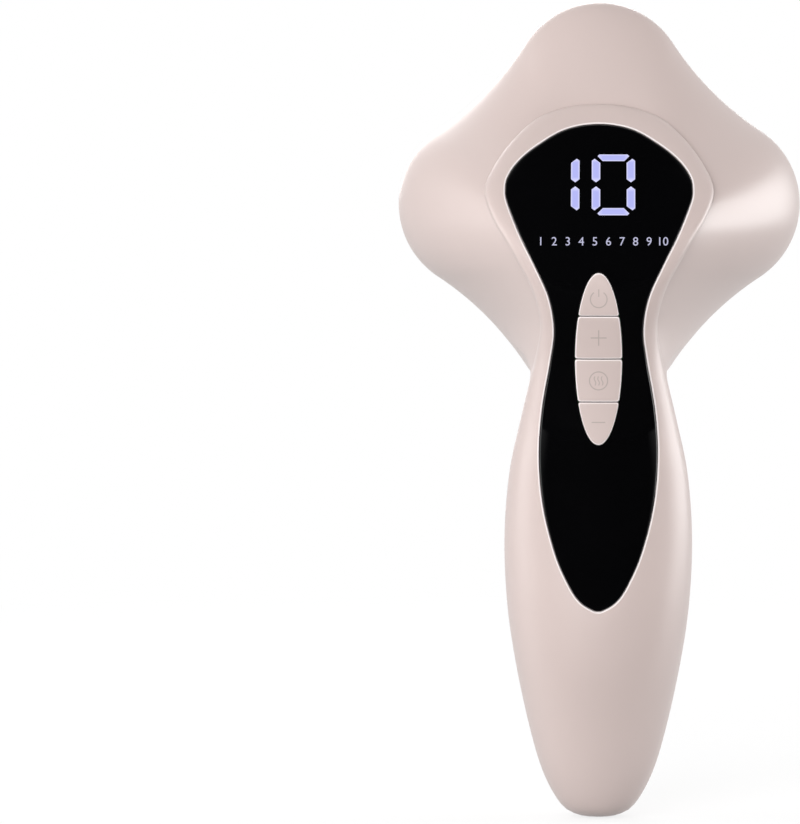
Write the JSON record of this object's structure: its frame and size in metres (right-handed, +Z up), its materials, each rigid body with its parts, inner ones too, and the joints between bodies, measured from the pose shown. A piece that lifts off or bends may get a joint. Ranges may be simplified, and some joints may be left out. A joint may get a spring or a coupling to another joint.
{
  "type": "body massager",
  "caption": "Hand-held body massager: four-lobed head with flat metal treatment discs and light windows on a spindle-shaped grip, with a black display panel and press keys.",
  "frame": {"origin": "lowest point of the grip, on the middle plane in X and half way through the depth in Y", "axes": "+Z up along the grip to the head, +Y out of the electrode side, -Y out of the display side, X across"},
  "size_m": [0.11, 0.0723, 0.2188],
  "materials": {
    "housing": "satin pinkish beige moulding",
    "gloss_black": "polished black",
    "disc_steel": "mirror polished stainless steel",
    "fastener_steel": "zinc plated",
    "weight_steel": "sintered, dull",
    "dark_plastic": "dull black",
    "foam": "dull black",
    "copper": "bare",
    "board": "green solder mask",
    "lit_red": "clear red",
    "lit_white": "clear, lit from behind",
    "sleeve": "plastic sleeve over a metal can",
    "capacitor_can": "sleeved can"
  },
  "bodies": {
    "body": {"head_shell": "housing", "rear_housing": "housing", "grip_shell": "housing", "treatment_plate": "gloss_black", "display_panel": "gloss_black", "switch_bodies": "dark_plastic", "electrode_top": "disc_steel", "electrode_right": "disc_steel", "electrode_bottom": "disc_steel", "electrode_left": "disc_steel", "electrode_gaskets": "foam", "heater_films": "copper", "electrode_nuts": "fastener_steel", "contact_tags": "copper", "led_windows": "lit_white", "led_board": "board", "led_chips": "lit_red", "thermistor": "dark_plastic", "motor_cradle": "dark_plastic", "motor_strap": "fastener_steel", "motor_can": "fastener_steel", "cradle_screws": "fastener_steel", "strap_screws": "fastener_steel", "main_board": "board", "controller_chip": "dark_plastic", "pulse_transformer": "dark_plastic", "capacitors": "capacitor_can", "board_screws": "fastener_steel", "display_module": "dark_plastic", "digit_segments": "lit_white", "battery_cell": "sleeve", "battery_pads": "foam", "battery_board": "board", "charge_port": "fastener_steel", "port_tongue": "gloss_black", "charge_board": "board", "housing_screws": "fastener_steel", "hood_screws": "fastener_steel"},
    "rotor": {"motor_shaft": "fastener_steel", "eccentric_weight": "weight_steel"},
    "power_key_set": {"power_key": "housing", "power_plunger": "dark_plastic"},
    "plus_key_set": {"plus_key": "housing", "plus_plunger": "dark_plastic"},
    "heat_key_set": {"heat_key": "housing", "heat_plunger": "dark_plastic"},
    "minus_key_set": {"minus_key": "housing", "minus_plunger": "dark_plastic"}
  },
  "joints": [
    {"name": "power_press", "type": "slide", "parent": "body", "child": "power_key_set", "axis": [0, 1, 0], "range_m": [0, 0.0004], "stiffness_N_per_m": 2000, "springref_m": -0.0003},
    {"name": "plus_press", "type": "slide", "parent": "body", "child": "plus_key_set", "axis": [0, 1, 0], "range_m": [0, 0.0004], "stiffness_N_per_m": 2000, "springref_m": -0.0003},
    {"name": "heat_press", "type": "slide", "parent": "body", "child": "heat_key_set", "axis": [0, 1, 0], "range_m": [0, 0.0004], "stiffness_N_per_m": 2000, "springref_m": -0.0003},
    {"name": "minus_press", "type": "slide", "parent": "body", "child": "minus_key_set", "axis": [0, 1, 0], "range_m": [0, 0.0004], "stiffness_N_per_m": 2000, "springref_m": -0.0003},
    {"name": "rotor_spin", "type": "hinge", "parent": "body", "child": "rotor", "pos_m": [0.006, 0.0124, 0.164], "axis": [1, 0, 0], "continuous": true}
  ]
}
